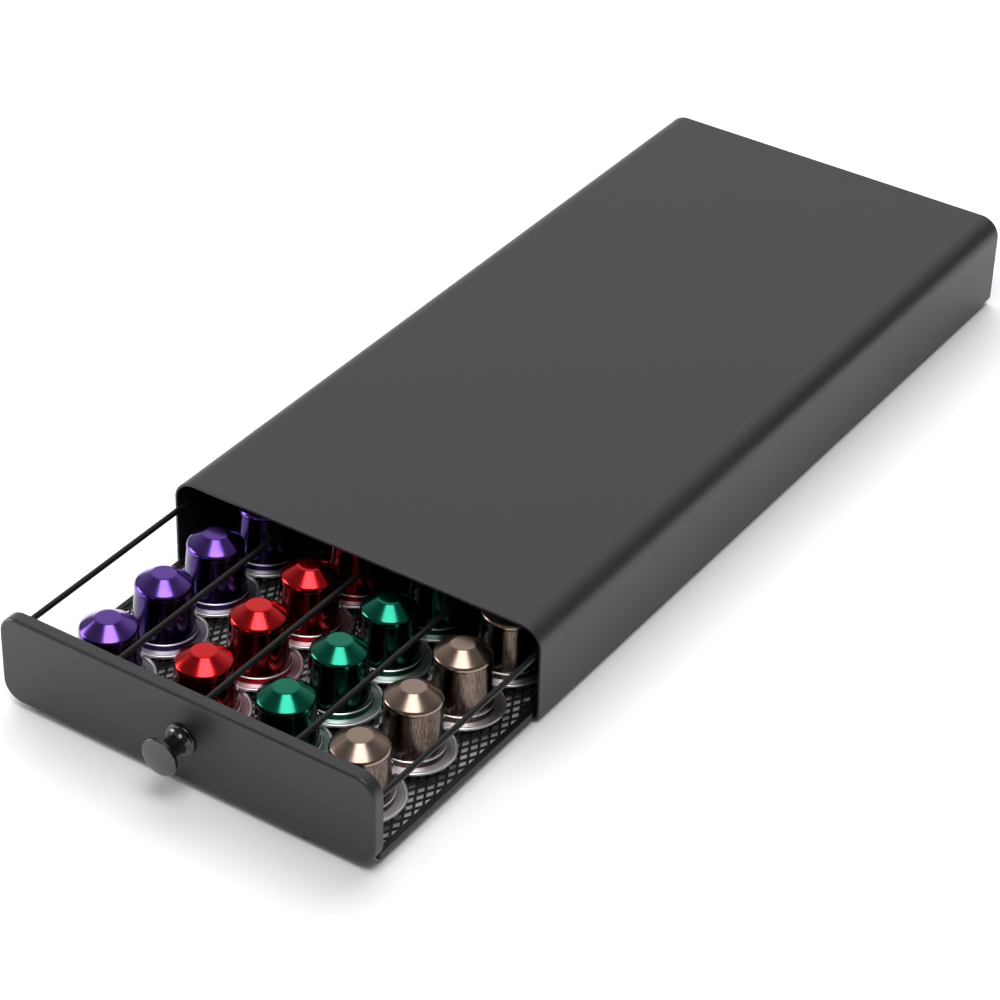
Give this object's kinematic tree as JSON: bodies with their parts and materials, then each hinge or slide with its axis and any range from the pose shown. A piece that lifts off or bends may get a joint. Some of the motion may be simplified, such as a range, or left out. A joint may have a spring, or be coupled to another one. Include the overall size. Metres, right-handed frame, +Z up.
{
  "type": "coffee pod drawer",
  "caption": "Low bent-steel housing with a sliding wire and mesh drawer that keeps coffee pods in lanes, and a flat top that a coffee machine can stand on.",
  "frame": {"origin": "middle of the part's footprint at table level, with the drawer out as pictured", "axes": "+X to the right seen from the front, +Y from the drawer's front to the back, +Z up"},
  "size_m": [0.182, 0.522, 0.0455],
  "materials": {
    "powder_coat": "satin black powder coat",
    "wire_coat": "satin black powder coat on round wire and bar",
    "mesh": "satin black coat on expanded metal",
    "knob_gloss": "gloss black enamel",
    "rubber": "smooth black rubber",
    "zinc": "zinc plated",
    "rivet": "black coated",
    "pod_purple": "purple lacquered aluminium with a silver rim",
    "pod_red": "red lacquered aluminium with a silver rim",
    "pod_green": "green lacquered aluminium with a silver rim",
    "pod_bronze": "bronze brushed aluminium with a silver rim"
  },
  "bodies": {
    "housing": {"back_panel": "powder_coat", "back_rivets": "rivet", "base_strap": "powder_coat", "foot_pad_front_left": "rubber", "foot_pad_front_right": "rubber", "foot_pad_rear_left": "rubber", "foot_pad_rear_right": "rubber", "housing_shell": "powder_coat"},
    "drawer": {"frame_bar_front": "wire_coat", "frame_bar_left": "wire_coat", "frame_bar_rear": "wire_coat", "frame_bar_right": "wire_coat", "front_panel": "powder_coat", "knob": "knob_gloss", "knob_screw": "zinc", "knob_washer": "zinc", "lane_divider_centre": "wire_coat", "lane_divider_left": "wire_coat", "lane_divider_right": "wire_coat", "mesh_floor": "mesh", "panel_foot_left": "rubber", "panel_foot_right": "rubber", "pod_bronze_1": "pod_bronze", "pod_bronze_2": "pod_bronze", "pod_bronze_3": "pod_bronze", "pod_bronze_4": "pod_bronze", "pod_green_1": "pod_green", "pod_green_2": "pod_green", "pod_green_3": "pod_green", "pod_green_4": "pod_green", "pod_purple_1": "pod_purple", "pod_purple_2": "pod_purple", "pod_purple_3": "pod_purple", "pod_purple_4": "pod_purple", "pod_red_1": "pod_red", "pod_red_2": "pod_red", "pod_red_3": "pod_red", "pod_red_4": "pod_red", "rail_post_left": "wire_coat", "rail_post_right": "wire_coat", "rear_rail_wire": "wire_coat", "side_rail_left": "wire_coat", "side_rail_right": "wire_coat", "stop_tab_left": "wire_coat", "stop_tab_right": "wire_coat", "support_wire_left": "wire_coat", "support_wire_right": "wire_coat"}
  },
  "joints": [
    {"name": "drawer_slide", "type": "slide", "parent": "housing", "child": "drawer", "axis": [0, -1, 0], "range_m": [-0.1047, 0.2037]}
  ]
}
